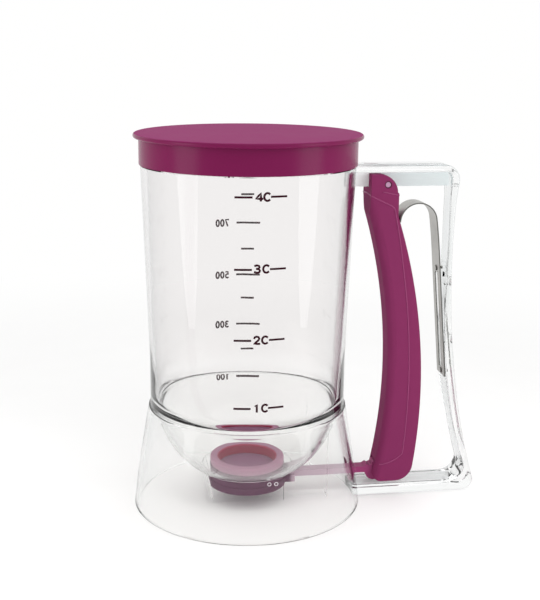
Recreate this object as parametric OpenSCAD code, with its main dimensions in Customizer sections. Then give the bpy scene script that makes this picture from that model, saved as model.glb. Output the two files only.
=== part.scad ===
// Batter dispenser: a clear jug on a flared skirt, with a press-on lid, a squeeze trigger
// in a loop handle, and a sliding valve under the outlet of the bowl.
// Millimetres, Z up. The jug's axis is Z, the handle points along +X, and the origin is
// the middle of the ring that the skirt stands on.

/* [Jug] */
// Outer radius of the jug wall at its shoulder, under the lid
jug_top_r = 51.4; // [50:0.1:54]
// Outer radius of the jug wall at its foot
jug_foot_r = 48.2; // [47:0.1:49]
// Height of the straight foot of the jug wall, above the seam
jug_straight_h = 20; // [6:1:54]
// Wall thickness at the foot of the jug
jug_wall = 2.2; // [1.8:0.1:2.8]
// How much smaller the neck, which the lid presses on, is than the shoulder
neck_inset = 1.2; // [0.8:0.1:2]
// Wall thickness of the neck
neck_wall = 1.8; // [1.2:0.1:2.4]
// Height of the jug's rim above the seam
jug_h = 126.6; // [104:0.2:144]

/* [Bowl and outlet] */
// How much smaller the round bowl's outer radius is than the jug's foot
bowl_inset = 2.7; // [2.4:0.1:3.4]
// Wall thickness of the bowl
bowl_wall = 1.9; // [1.4:0.1:2.6]
// Height of the rim flange, which shows as the seam of the jug
flange_h = 4.2; // [3:0.1:6]
// Thickness of the flat floor round the outlet
floor_t = 1.6; // [1.2:0.1:2.2]
// Width of the flat floor outside the seal
floor_edge = 4.9; // [4:0.1:6]
// Radius of the outlet, inside its seal
outlet_r = 14.6; // [12:0.1:15]
// Outer radius of the seal's flange on the floor
seal_r = 18.9; // [18.2:0.1:20]
// Height of the seal's flange
seal_h = 3.7; // [2:0.1:5]

/* [Skirt] */
// Outer radius of the ring that stands on the table
base_r = 57; // [54:0.5:60]
// How far the skirt's upper rim stands out past the jug's foot
skirt_step = 0.8; // [0.4:0.1:1.6]
// Wall thickness of the skirt
skirt_wall = 2; // [1.8:0.1:2.4]
// How far the flare bulges past a straight cone
skirt_bulge = 0.4; // [0:0.1:2]

/* [Lid] */
// How far the lid's brim reaches past the jug's shoulder
lid_overhang = 3.2; // [1.6:0.1:6]
// Thickness of the lid's top
lid_t = 2.3; // [1.8:0.1:3]
// Height of the lid's band
lid_band_h = 12.2; // [8:0.1:16]
// Wall thickness of the lid's band
lid_wall = 1.5; // [1:0.1:2]
// Depth of the ring that plugs the jug's mouth
plug_ring_h = 6; // [3:0.5:9]

/* [Handle] */
// Width of the upper and lower arms
arm_w = 16; // [14:0.5:20]
// Width of the upright grip
post_w = 12; // [12:0.5:14]
// Thickness of the upper arm's top plate
plate_t = 3.6; // [2.6:0.1:5]
// Height of the web that hangs under the upper arm's plate
web_h = 7.2; // [6.4:0.1:8]
// Thickness of that web
web_t = 4; // [3:0.1:5]
// Thickness of the lower arm
lower_arm_t = 5.8; // [4:0.1:6]
// Distance from the jug's axis to the narrowest point of the grip's outer face
grip_x = 101.7; // [100:0.1:106]
// Thickness of the grip at its upper part
grip_t = 2.4; // [2:0.1:3]
// Radius of the grip's outer face, a long curve
grip_curve_r = 445; // [430:5:600]
// Radius of the grip's inner face below its straight stretch
grip_bend_r = 255; // [240:5:300]
// Radius of the upper outer corner
top_corner_r = 8; // [5:0.5:10]
// Radius of the lower outer corner
low_corner_r = 5.5; // [4:0.5:7]

/* [Trigger] */
// Width of the trigger
trigger_w = 16; // [14:0.5:18]
// Distance from the jug's axis to the pivot pin
pivot_x = 66.9; // [66:0.1:68]
// Radius of the pivot pin
pin_r = 1.3; // [1.1:0.1:1.5]
// Gap between the foot's underside and the lower arm
foot_gap = 1.5; // [0.8:0.1:2.2]
// Rounding of the trigger's front edges, which the fingers pull
front_round = 4; // [2:0.5:5]
// Radius of the foot's lower back corner
foot_corner_r = 9; // [6:0.5:10]
// Wall thickness of the grip cover
cover_t = 2.2; // [1.6:0.1:3]

/* [Leaf spring] */
// Width of the spring strip
spring_w = 12; // [10:0.5:12]
// Thickness of the spring strip
spring_t = 0.6; // [0.4:0.05:0.8]
// Radius of the arch at the spring's free end
arch_r = 9.25; // [9:0.05:9.5]
// Width of the slot along the strip
slot_w = 3.5; // [3:0.1:4.5]
// Radius of the rivets' shanks
rivet_r = 0.9; // [0.7:0.05:1]

/* [Valve] */
// How far the sliding disc reaches past the seal's flange
disc_margin = 0.6; // [0.3:0.1:1.4]
// Height of the disc's underside above the table
disc_z = 8.7; // [8.3:0.1:9.4]
// Thickness of the disc
disc_t = 3.5; // [2.6:0.1:4]
// Height of the soft plug on the disc
plug_h = 4.8; // [3:0.1:6]
// Width of the pull arm
pull_w = 6; // [5:0.1:7]
// Thickness of the pull arm
pull_t = 3.1; // [2.4:0.1:3.6]
// Radius of the bar in the trigger's foot that drives the pull arm
bar_r = 1.55; // [1.2:0.05:1.9]
// Thickness of the guide walls on both sides of the disc
guide_t = 1.8; // [1.4:0.1:2.4]
// Thickness of the keeper under the disc
keeper_t = 1.4; // [1:0.1:1.8]

/* [Fits] */
// Gap between mouldings that are welded together
weld_gap = 0.02; // [0.01:0.01:0.05]
// Gap between faces that slide on or swing past each other
slide_gap = 0.3; // [0.2:0.05:0.4]
// Gap between flat faces that rest on each other
rest_gap = 0.1; // [0.05:0.05:0.2]
// Radial clearance of the pivot pin in the trigger
pin_gap = 0.06; // [0.02:0.01:0.1]

/* [Hidden] */

$fn = 96;
long_arc_fn = 720;   // sides of circles whose radius is many times the part's size
overlap = 0.5;       // how far shapes of one solid reach into each other

clear_plastic = [0.90, 0.94, 0.95, 0.35];
purple = "#85315b";
purple_dark = "#7a2c53";
mauve = "#b69fa7";
steel = "#afb0aa";

// Heights from the table up: disc, plug, floor of the bowl, seam, rim
bowl_r = jug_foot_r - bowl_inset;
neck_r = jug_top_r - neck_inset;
lid_r = jug_top_r + lid_overhang;
disc_r = seal_r + disc_margin;
disc_top_z = disc_z + disc_t;
plug_top_z = disc_top_z + plug_h;
floor_z = plug_top_z + 2 * rest_gap;
floor_top_z = floor_z + floor_t;
floor_r = seal_r + floor_edge;
seam_top_z = floor_z + sqrt(bowl_r * bowl_r - floor_r * floor_r);
skirt_h = seam_top_z - flange_h;
skirt_top_r = jug_foot_r + skirt_step;
jug_taper_z = seam_top_z + jug_straight_h;
rim_z = seam_top_z + jug_h;
shoulder_z = rim_z - lid_band_h - rest_gap;
jug_inner_foot_r = jug_foot_r - jug_wall;
jug_inner_top_r = neck_r - neck_wall;

// Upper arm: its plate's top lies just under the lid's band
arm_top_z = shoulder_z - 0.6;
plate_z = arm_top_z - plate_t;
web_z = plate_z - web_h;
pivot_z = web_z + 1.5;
arm_start_x = 40;    // the arms run in from here and are cut off at the jug and the skirt
grip_low_taper = 22; // height over which the lower arm narrows to the grip
grip_top_taper = 6;  // and the grip widens again under the web

// Grip: its outer face is one long arc, its inner face is straight and bends lower down
grip_inner_x = grip_x - grip_t;
grip_waist_drop = 44.6;    // from the upper arm's top down to the grip's narrowest point
grip_bend_drop = 74.7;     // and down to where its inner face starts to bend
grip_outer_c = [grip_x + grip_curve_r, arm_top_z - grip_waist_drop];
grip_inner_c = [grip_inner_x + grip_bend_r, arm_top_z - grip_bend_drop];

// Spring: an arch, a long bend and a straight tail that leans away from the trigger
tail_lean = 5.3;
bend_lean = 8.5;
bend_h = 16;
tail_h = 65.5;
bend_r = bend_h / (sin(bend_lean) - sin(tail_lean));

// Valve, its guides and the eye of its pull arm
plug_r = disc_r - slide_gap;
guide_y = disc_r + 0.7;
guide_x0 = 5.5 - disc_r;
guide_x1 = disc_r + 17.3;
keeper_z = disc_z - 2 * rest_gap - keeper_t;
foot_z = lower_arm_t + foot_gap;
bar_shift = 2.1;
pull_z = disc_top_z - 1.5;
bar_x = pivot_x + bar_shift;
bar_z = pull_z + 2.5;
eye_x1 = bar_x + 4.2;
eye_top_z = bar_z + 3.4;
eye_low_z = lower_arm_t + 0.7;
foot_slot_w = pull_w + 4 * slide_gap;

// x of an arc about centre c with radius r, at height z, on its +X or -X side
function right_x(c, r, z) = c.x + sqrt(r * r - (z - c.y) * (z - c.y));
function left_x(c, r, z) = c.x - sqrt(r * r - (z - c.y) * (z - c.y));

// Centre of the circle through three points
function circle_centre(a, b, c) =
    let (d = 2 * (a.x * (b.y - c.y) + b.x * (c.y - a.y) + c.x * (a.y - b.y)))
    [
        (a * a * (b.y - c.y) + b * b * (c.y - a.y) + c * c * (a.y - b.y)) / d,
        (a * a * (c.x - b.x) + b * b * (a.x - c.x) + c * c * (b.x - a.x)) / d
    ];

function arc_points(c, r, from, to, steps) =
    [for (i = [0:steps]) let (a = from + (to - from) * i / steps) c + r * [cos(a), sin(a)]];

// Trigger faces: each is an arc through a top, a middle and a foot point, in X and Z.
// The distances are from the pivot's axis, out along X or down along Z.
front_top_in = 7.9;
front_top_drop = 15.7;
front_mid_out = 3.6;
front_foot_in = 1.5;
back_top_out = 10.8;
back_top_drop = 32.4;
back_mid_out = 20.6;
back_foot_out = 17.9;
seam_top_out = 2.6;
seam_top_drop = 10.7;
seam_mid_out = 14;
seam_foot_out = 11.6;
front_mid_drop = 90.7;
back_mid_drop = 100.7;
foot_arc_h = 8;
foot_arc_z = foot_z + foot_arc_h;
front_top = [pivot_x - front_top_in, pivot_z - front_top_drop];
front_mid = [pivot_x + front_mid_out, pivot_z - front_mid_drop];
front_foot = [pivot_x - front_foot_in, foot_arc_z];
front_c = circle_centre(front_top, front_mid, front_foot);
front_r = norm(front_top - front_c);
back_top = [pivot_x + back_top_out, pivot_z - back_top_drop];
back_mid = [pivot_x + back_mid_out, pivot_z - back_mid_drop];
back_foot = [pivot_x + back_foot_out, foot_arc_z];
back_c = circle_centre(back_top, back_mid, back_foot);
back_r = norm(back_top - back_c);
seam_top = [pivot_x + seam_top_out, pivot_z - seam_top_drop];
seam_mid = [pivot_x + seam_mid_out, pivot_z - front_mid_drop];
seam_foot = [pivot_x + seam_foot_out, foot_arc_z];
seam_c = circle_centre(seam_top, seam_mid, seam_foot);
seam_r = norm(seam_top - seam_c);
head_front_in = 8.3;
head_front_x = pivot_x - head_front_in;
head_r = 9.2;
head_shift = 4.2;
head_c = [pivot_x - head_shift, pivot_z - head_shift];
neck_step = 0.6;
neck_back_x = head_c.x + head_r + neck_step;
neck_low_z = back_c.y + sqrt(back_r * back_r - (neck_back_x - back_c.x) * (neck_back_x - back_c.x));

// The spring's free end stands just off the trigger's back
spring_tip_drop = 18.8;
spring_tip_z = pivot_z - spring_tip_drop;
arch_c = [right_x(back_c, back_r, spring_tip_z) + slide_gap + spring_t / 2 + arch_r, spring_tip_z];
bend_c = arch_c + (arch_r - bend_r) * [cos(bend_lean), sin(bend_lean)];
tail_top = bend_c + bend_r * [cos(tail_lean), sin(tail_lean)];
tail_dir = [sin(tail_lean), -cos(tail_lean)];
tail_side = [cos(tail_lean), sin(tail_lean)];
tail_end = tail_top + tail_dir * tail_h;
rivet_steps = [9.6, tail_h - 1.9];   // distances of the rivets down the tail
slot_top_z = rivet_z(rivet_steps[0]) - 2.1;
slot_low_z = rivet_z(rivet_steps[1]) + 2.1;

// ---- Shapes shared by several pieces ----

// Extrudes an outline drawn in X and Z to a plate of width w, centred on the handle's plane
module side_plate(w) {
    rotate([90, 0, 0]) linear_extrude(w, center = true) children();
}

// Turns a section drawn as radius and Y about the axis through c, which runs along Y
module turned_about(c) {
    translate([c.x, 0, c.y]) rotate([90, 0, 0]) rotate_extrude($fn = long_arc_fn) children();
}

// Bar section from x0 to x1 with its two corners at x0 rounded
module rounded_section(x0, x1, w, r) {
    translate([x0 + r, -w / 2]) square([x1 - x0 - r, w]);
    translate([x0, r - w / 2]) square([r + overlap, w - 2 * r]);
    for (side = [-1, 1]) translate([x0 + r, side * (w / 2 - r)]) circle(r, $fn = 48);
}

function skirt_outer_r(z) =
    let (t = z / skirt_h)
    base_r + (skirt_top_r - base_r) * t + 4 * skirt_bulge * t * (1 - t);

module skirt_section(inset, low, high) {
    steps = 10;
    heights = [for (i = [0:steps]) low + (high - low) * i / steps];
    polygon(concat(
        [[0, low]],
        [for (z = heights) [skirt_outer_r(z) - inset, z]],
        [[0, high]]
    ));
}

module jug_outer_section(grow = 0) {
    polygon([
        [0, seam_top_z], [jug_foot_r + grow, seam_top_z], [jug_foot_r + grow, jug_taper_z],
        [jug_top_r + grow, shoulder_z], [0, shoulder_z]
    ]);
}

// ---- Jug, bowl and skirt ----

module container_wall() {
    color(clear_plastic) rotate_extrude() difference() {
        union() {
            jug_outer_section();
            translate([0, shoulder_z - overlap]) square([neck_r, rim_z - shoulder_z + overlap]);
        }
        polygon([
            [0, seam_top_z - overlap], [jug_inner_foot_r, seam_top_z - overlap],
            [jug_inner_foot_r, seam_top_z], [jug_inner_top_r, rim_z],
            [jug_inner_top_r, rim_z + overlap], [0, rim_z + overlap]
        ]);
    }
}

module bowl_section() {
    chamfer = jug_inner_foot_r - (bowl_r - bowl_wall);
    difference() {
        union() {
            intersection() {
                translate([0, seam_top_z]) circle(bowl_r);
                translate([0, floor_z]) square([bowl_r, seam_top_z - floor_z]);
            }
            translate([bowl_r - overlap, skirt_h])
                square([jug_foot_r - bowl_r + overlap, flange_h]);
        }
        intersection() {
            translate([0, seam_top_z]) circle(bowl_r - bowl_wall);
            translate([0, floor_top_z]) square([bowl_r, seam_top_z]);
        }
        polygon([
            [0, seam_top_z], [jug_inner_foot_r, seam_top_z],
            [jug_inner_foot_r - chamfer, seam_top_z - 1.5 * chamfer], [0, seam_top_z - 1.5 * chamfer]
        ]);
        square([seal_neck_r + rest_gap, seam_top_z]);
    }
}

seal_neck_r = outlet_r + 2.2;

// Guide walls hang from the bowl on both sides of the sliding disc
module guide_walls() {
    for (side = [-1, 1]) mirror([0, side < 0 ? 1 : 0, 0]) difference() {
        translate([guide_x0, guide_y, disc_z - rest_gap])
            cube([guide_x1 - guide_x0, guide_t, seam_top_z - disc_z - 8]);
        intersection() {
            translate([0, 0, seam_top_z]) sphere(bowl_r - 0.6);
            translate([-bowl_r, -bowl_r, floor_z + 0.5]) cube(2 * bowl_r);
        }
        for (x = peg_xs) translate([x, guide_y - 1, peg_z])
            rotate([-90, 0, 0]) cylinder(r = peg_r + rest_gap, h = guide_t + 2, $fn = 32);
    }
}

peg_xs = [8, 12];
peg_r = 0.95;
peg_z = floor_z - 2.2;

module hopper_bowl() {
    color(clear_plastic) {
        rotate_extrude() bowl_section();
        guide_walls();
    }
}

module outlet_seal() {
    lip = 1;
    top_z = floor_top_z + rest_gap / 2 + seal_h;
    color(mauve) rotate_extrude() difference() {
        union() {
            translate([0, floor_top_z + rest_gap / 2]) square([seal_r, seal_h - lip]);
            translate([0, top_z - lip - overlap]) square([seal_r - lip, lip + overlap]);
            translate([seal_r - lip, top_z - lip]) circle(lip, $fn = 48);
            translate([0, floor_z - rest_gap]) square([seal_neck_r, floor_t + 2 * rest_gap]);
        }
        square([outlet_r, top_z + 1]);
        polygon([
            [0, top_z - lip], [outlet_r, top_z - lip], [outlet_r + lip + 0.1, top_z + 0.1], [0, top_z + 0.1]
        ]);
    }
}

module base_skirt() {
    slot_z0 = pull_z - 1.5;
    color(clear_plastic) difference() {
        rotate_extrude() difference() {
            skirt_section(0, 0, skirt_h - weld_gap);
            skirt_section(skirt_wall, -overlap, skirt_h + overlap);
        }
        translate([base_r - 15, -pull_w / 2 - 1.5, slot_z0])
            cube([20, pull_w + 3, eye_top_z + 0.6 - slot_z0]);
    }
}

// ---- Handle ----

// Centre of a corner of radius r, at height z, that meets the arc about c with radius arc_r
function corner_centre(c, arc_r, r, z) = [left_x(c, arc_r + r, z), z];
function angle_to(from, to) = atan2(to.y - from.y, to.x - from.x);

module frame_outline() {
    low_c = corner_centre(grip_outer_c, grip_curve_r, low_corner_r, low_corner_r);
    top_c = corner_centre(grip_outer_c, grip_curve_r, top_corner_r, arm_top_z - top_corner_r);
    low_a = angle_to(low_c, grip_outer_c);
    top_a = angle_to(top_c, grip_outer_c);
    polygon(concat(
        [[arm_start_x, 0]],
        arc_points(low_c, low_corner_r, -90, low_a, 10),
        arc_points(grip_outer_c, grip_curve_r, 179.5 + low_a, 180.5 + top_a, 30),
        arc_points(top_c, top_corner_r, top_a, 90, 10),
        [[arm_start_x, arm_top_z]]
    ));
}

module frame_opening() {
    top_r = 3;
    low_r = 8;
    low_c = corner_centre(grip_inner_c, grip_bend_r, low_r, lower_arm_t + low_r);
    low_a = angle_to(low_c, grip_inner_c);
    polygon(concat(
        [[arm_start_x - 10, lower_arm_t]],
        arc_points(low_c, low_r, -90, low_a, 8),
        arc_points(grip_inner_c, grip_bend_r, 179.5 + low_a, 180, 16),
        arc_points([grip_inner_x - top_r, plate_z - top_r], top_r, 0, 90, 6),
        [[arm_start_x - 10, plate_z]]
    ));
}

// Front view of the frame: wide arms and a narrower grip between them
module frame_widths() {
    grip_low_z = lower_arm_t + grip_low_taper;
    grip_top_z = web_z - grip_top_taper;
    polygon([
        [-arm_w / 2, -1], [arm_w / 2, -1], [arm_w / 2, lower_arm_t + 2],
        [post_w / 2, grip_low_z], [post_w / 2, grip_top_z], [arm_w / 2, plate_z - 1],
        [arm_w / 2, arm_top_z + 1], [-arm_w / 2, arm_top_z + 1], [-arm_w / 2, plate_z - 1],
        [-post_w / 2, grip_top_z], [-post_w / 2, grip_low_z], [-arm_w / 2, lower_arm_t + 2]
    ]);
}

// Everything under or behind the spring's tail, from z0 to z1, as far as the grip
module behind_tail(z0, z1, offset) {
    function tail_x(z) = tail_top.x + (tail_top.y - z) * tan(tail_lean) + offset;
    function inside_x(z) = overlap +
        (z > grip_inner_c.y ? grip_inner_x : left_x(grip_inner_c, grip_bend_r, z));
    polygon([[tail_x(z0), z0], [tail_x(z1), z1], [inside_x(z1), z1], [inside_x(z0), z0]]);
}

module handle_frame() {
    seat_offset = (spring_t / 2 + weld_gap) / cos(tail_lean);
    seat_half = 3.6;
    color(clear_plastic) difference() {
        union() {
            intersection() {
                side_plate(arm_w + 2) difference() {
                    frame_outline();
                    frame_opening();
                }
                rotate([90, 0, 90]) linear_extrude(140) frame_widths();
            }
            side_plate(web_t) translate([arm_start_x, web_z])
                square([grip_inner_x + overlap - arm_start_x, web_h + overlap]);
            side_plate(slot_w - slide_gap)
                behind_tail(slot_low_z + slide_gap / 2, slot_top_z - slide_gap / 2, -spring_t - 0.2);
            for (step = rivet_steps) side_plate(post_w - 2)
                behind_tail(rivet_z(step) - seat_half, rivet_z(step) + seat_half, seat_offset);
        }
        rotate_extrude() jug_outer_section(weld_gap);
        rotate_extrude() skirt_section(-weld_gap, -1, skirt_h);
        translate([pivot_x, 0, pivot_z]) rotate([90, 0, 0])
            cylinder(r = pin_r + weld_gap, h = web_t + 2, center = true);
        for (step = rivet_steps) at_rivet(step) translate([0, 0, -3 - weld_gap])
            cylinder(r = rivet_r + weld_gap, h = 6, $fn = 32);
        for (z = pocket_zs) translate([left_x(grip_outer_c, grip_curve_r, z), 0, z])
            rotate([0, 90, 0]) cylinder(r = 2.8, h = 1.6, center = true, $fn = 48);
    }
}

pocket_drop = 58.6;
pocket_pitch = 30;
pocket_zs = [for (i = [0, 1]) arm_top_z - pocket_drop - i * pocket_pitch];

function rivet_z(step) = (tail_top + tail_dir * step).y;

// Frame of a rivet: its Z axis comes out of the strip's front face, towards the trigger
module at_rivet(step) {
    p = tail_top + tail_dir * step;
    translate([p.x, 0, p.y]) rotate([0, -90 - tail_lean, 0]) children();
}

// ---- Lid ----

module lid() {
    brim_r = lid_t / 2;
    under_z = rim_z + rest_gap;
    band_r = neck_r + slide_gap;
    plug_r_out = jug_inner_top_r - slide_gap;
    color(purple) rotate_extrude() {
        translate([0, under_z]) square([lid_r - brim_r, lid_t]);
        translate([lid_r - brim_r, under_z + brim_r]) circle(brim_r, $fn = 48);
        translate([band_r, under_z - lid_band_h]) square([lid_wall, lid_band_h + overlap]);
        translate([plug_r_out - lid_wall, under_z - plug_ring_h])
            square([lid_wall, plug_ring_h + overlap]);
    }
}

// ---- Trigger ----

// Side view of the trigger's body: its back follows the back arc and runs round the foot
module body_outline() {
    toe_r = 4;
    corner_z = foot_z + foot_corner_r;
    corner_c = [right_x(back_c, back_r - foot_corner_r, corner_z), corner_z];
    join_a = atan2(corner_c.y - back_c.y, corner_c.x - back_c.x);
    top_a = asin((neck_low_z - back_c.y) / back_r);
    toe_c = [right_x(front_c, front_r, foot_z + toe_r) + toe_r - 0.3, foot_z + toe_r];
    polygon(concat(
        [[head_front_x, head_c.y], [neck_back_x, head_c.y]],
        arc_points(back_c, back_r, top_a, join_a, 28),
        arc_points(corner_c, foot_corner_r, join_a - 8, -90, 10),
        arc_points(toe_c, toe_r, 270, 180, 8),
        [[head_front_x, toe_c.y]]
    ));
}

module trigger_body() {
    intersection() {
        turned_about(front_c) rounded_section(front_r, front_r + 40, trigger_w, front_round);
        side_plate(trigger_w + 2) body_outline();
    }
}

// Side view of the grip cover: in front of the seam line, with a slanted top end and a
// low end that is level at the front and curves up towards the seam
module cover_outline(gap) {
    low_r = 18;
    low_c = [pivot_x - 0.7, foot_z + 9.1 + low_r];
    front_x = pivot_x - 14;
    back_x = pivot_x + 20;
    top_z = pivot_z - 4.3 - gap;
    top_fall = 15.4;
    intersection() {
        translate(seam_c) circle(seam_r - gap, $fn = long_arc_fn);
        polygon(concat(
            [[front_x, top_z], [back_x, top_z - top_fall], [back_x, low_c.y]],
            arc_points(low_c, low_r - gap, 360, 270, 12),
            [[front_x, low_c.y - low_r + gap]]
        ));
    }
}

module trigger_head() {
    side_plate(trigger_w) {
        intersection() {
            translate(head_c) circle(head_r);
            translate([head_front_x, head_c.y - head_r]) square([2 * head_r, 2 * head_r]);
        }
        translate([head_front_x, head_c.y]) square([head_c.x - head_front_x, head_r]);
        polygon([
            [head_front_x, neck_low_z], [neck_back_x, neck_low_z], [neck_back_x, head_c.y - 2],
            [head_c.x + head_r, head_c.y + 0.5], [head_front_x, head_c.y + 0.5]
        ]);
    }
}

module trigger() {
    stop_w = 2.5;
    floor_drop = 1.2;
    color(purple) difference() {
        union() {
            trigger_body();
            trigger_head();
        }
        difference() {
            side_plate(trigger_w + 4) cover_outline(0);
            core_block(0);
        }
        // Slot that straddles the web, deeper behind the stop at the front
        translate([head_front_x - 2, -web_t / 2 - slide_gap, web_z - slide_gap])
            cube([30, web_t + 2 * slide_gap, 30]);
        translate([head_front_x + stop_w, -web_t / 2 - slide_gap, web_z - floor_drop])
            cube([30, web_t + 2 * slide_gap, 30]);
        translate([pivot_x, 0, pivot_z]) rotate([90, 0, 0])
            cylinder(r = pin_r + pin_gap, h = trigger_w + 2, center = true);
        foot_cavity();
    }
    color(purple) translate([bar_x, 0, bar_z]) rotate([90, 0, 0])
        cylinder(r = bar_r, h = foot_slot_w + 1, center = true);
}

// Cavity in the foot, open to the front and below, for the eye of the pull arm
module foot_cavity() {
    front_x = bar_x - 12;
    translate([front_x, -foot_slot_w / 2, foot_z - 2])
        cube([eye_x1 + 1.2 - front_x, foot_slot_w, eye_top_z + 0.9 - foot_z + 2]);
}

// Core of the trigger that the grip cover wraps round
module core_block(gap) {
    turned_about(front_c) translate([front_r + cover_t - gap, -trigger_w / 2 + cover_t - gap])
        square([4 * trigger_w, trigger_w - 2 * cover_t + 2 * gap]);
}

module trigger_grip() {
    color(purple_dark) difference() {
        intersection() {
            trigger_body();
            side_plate(trigger_w + 4) cover_outline(weld_gap);
        }
        core_block(weld_gap);
        foot_cavity();
    }
}

module pivot_pin() {
    color(steel) translate([pivot_x, 0, pivot_z]) rotate([90, 0, 0])
        cylinder(r = pin_r, h = trigger_w - 0.4, center = true);
}

// ---- Leaf spring ----

module spring_outline() {
    half = spring_t / 2;
    outer = concat(
        arc_points(arch_c, arch_r + half, 180, bend_lean, 30),
        arc_points(bend_c, bend_r + half, bend_lean, tail_lean, 6),
        [tail_end + tail_side * half]
    );
    inner = concat(
        [tail_end - tail_side * half],
        arc_points(bend_c, bend_r - half, tail_lean, bend_lean, 6),
        arc_points(arch_c, arch_r - half, bend_lean, 180, 30)
    );
    polygon(concat(outer, inner));
}

module leaf_spring() {
    color(steel) difference() {
        side_plate(spring_w) spring_outline();
        translate([tail_top.x - spring_w / 2, -slot_w / 2, slot_low_z])
            cube([tail_end.x - tail_top.x + spring_w, slot_w, slot_top_z - slot_low_z]);
        for (step = rivet_steps) at_rivet(step)
            cylinder(r = rivet_r + weld_gap, h = 8 * spring_t, center = true, $fn = 32);
    }
}

module spring_rivets() {
    shank_h = 2.9;
    head_h = 0.5;
    color(steel) for (step = rivet_steps) at_rivet(step) {
        translate([0, 0, -shank_h]) cylinder(r = rivet_r, h = shank_h + spring_t, $fn = 32);
        translate([0, 0, spring_t / 2 + weld_gap]) cylinder(r = rivet_r * 1.6, h = head_h, $fn = 32);
    }
}

// ---- Valve ----

module slide_valve() {
    ring_w = 3.5;
    color(purple_dark) difference() {
        union() {
            translate([0, 0, disc_z]) cylinder(r = disc_r, h = disc_t);
            translate([0, 0, disc_top_z - overlap]) cylinder(r = spigot_r, h = spigot_h + overlap);
            translate([0, -pull_w / 2 - 2, disc_z])
                cube([disc_r + 4.5, pull_w + 4, disc_t - 0.01]);
            translate([disc_r + 0.2, -pull_w / 2, disc_z])
                cube([4.3, pull_w, pull_z + pull_t - disc_z]);
            translate([disc_r + 1, -pull_w / 2, pull_z])
                cube([bar_x - 3 - disc_r, pull_w, pull_t]);
            pull_eye();
        }
        translate([0, 0, disc_z - 1]) cylinder(r = disc_r - ring_w, h = 2);
        translate([bar_x - bar_r - slide_gap, -pull_w, bar_z - bar_r - slide_gap])
            cube([2 * bar_r + 2 * slide_gap, 2 * pull_w, 20]);
    }
}

spigot_r = 10;
spigot_h = 2.2;

// Eye of the pull arm: an open hook that holds the bar in the trigger's foot
module pull_eye() {
    x0 = bar_x - 7.6;
    step_x = bar_x - 4.2;
    round = 1.2;
    low_round = 4.2;
    low_back = 1.5;
    top_z = pull_z + pull_t;
    side_plate(pull_w) {
        translate([x0 + low_round, eye_low_z + low_round]) circle(low_round);
        translate([x0 + low_round, eye_low_z]) square([eye_x1 - low_back - x0 - low_round, 5]);
        translate([x0, eye_low_z + low_round]) square([eye_x1 - x0, top_z - eye_low_z - low_round]);
        translate([eye_x1 - low_back, eye_low_z + low_back]) circle(low_back, $fn = 48);
        translate([eye_x1 - 3, eye_low_z + low_back]) square([3, top_z - eye_low_z - low_back]);
        translate([step_x + round, top_z - overlap])
            square([eye_x1 - step_x - 2 * round, eye_top_z - top_z + overlap]);
        translate([step_x, top_z - overlap])
            square([eye_x1 - step_x, eye_top_z - top_z + overlap - round]);
        for (x = [step_x + round, eye_x1 - round])
            translate([x, eye_top_z - round]) circle(round, $fn = 48);
        // Small catch on the arm's top, just outside the foot
        polygon([[x0 - 1, top_z - overlap], [x0 - 1, top_z], [x0 + 0.7, top_z + 1.1], [x0 + 2.6, top_z],
            [x0 + 2.6, top_z - overlap]]);
    }
}

module valve_plug() {
    color(mauve) difference() {
        translate([0, 0, disc_top_z + weld_gap])
            cylinder(r = plug_r, h = plug_top_z - disc_top_z - weld_gap);
        translate([0, 0, disc_top_z - 1]) cylinder(r = spigot_r + rest_gap, h = spigot_h + 1 + rest_gap);
    }
}

// U-shaped keeper under the disc, held by two pegs on each side
module slide_keeper() {
    lip_y = outlet_r + 0.8;
    outer_y = guide_y + guide_t;
    back_x = -disc_r - slide_gap;
    tab_x0 = peg_xs[0] - 3;
    tab_x1 = peg_xs[1] + 3;
    tab_t = 1.4;
    color(clear_plastic) {
        translate([back_x - 2.5, -outer_y, keeper_z]) cube([2.5, 2 * outer_y, keeper_t + 4]);
        for (side = [-1, 1]) mirror([0, side < 0 ? 1 : 0, 0]) {
            translate([back_x - 1, lip_y, keeper_z])
                cube([guide_x1 - back_x + 1, outer_y - lip_y, keeper_t]);
            translate([tab_x0, outer_y - 1, keeper_z])
                cube([tab_x1 - tab_x0, tab_t + 1 + rest_gap, keeper_t]);
            translate([tab_x0, outer_y + rest_gap, keeper_z])
                cube([tab_x1 - tab_x0, tab_t, peg_z + 2.4 - keeper_z]);
            for (x = peg_xs) translate([x, guide_y + 0.4, peg_z])
                rotate([-90, 0, 0]) cylinder(r = peg_r, h = guide_t + 0.2, $fn = 32);
        }
    }
}

container_wall();
hopper_bowl();
outlet_seal();
base_skirt();
handle_frame();
lid();
trigger();
trigger_grip();
pivot_pin();
leaf_spring();
spring_rivets();
slide_valve();
valve_plug();
slide_keeper();
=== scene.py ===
import math

import bmesh
import bpy
from mathutils import Matrix, Vector

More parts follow.
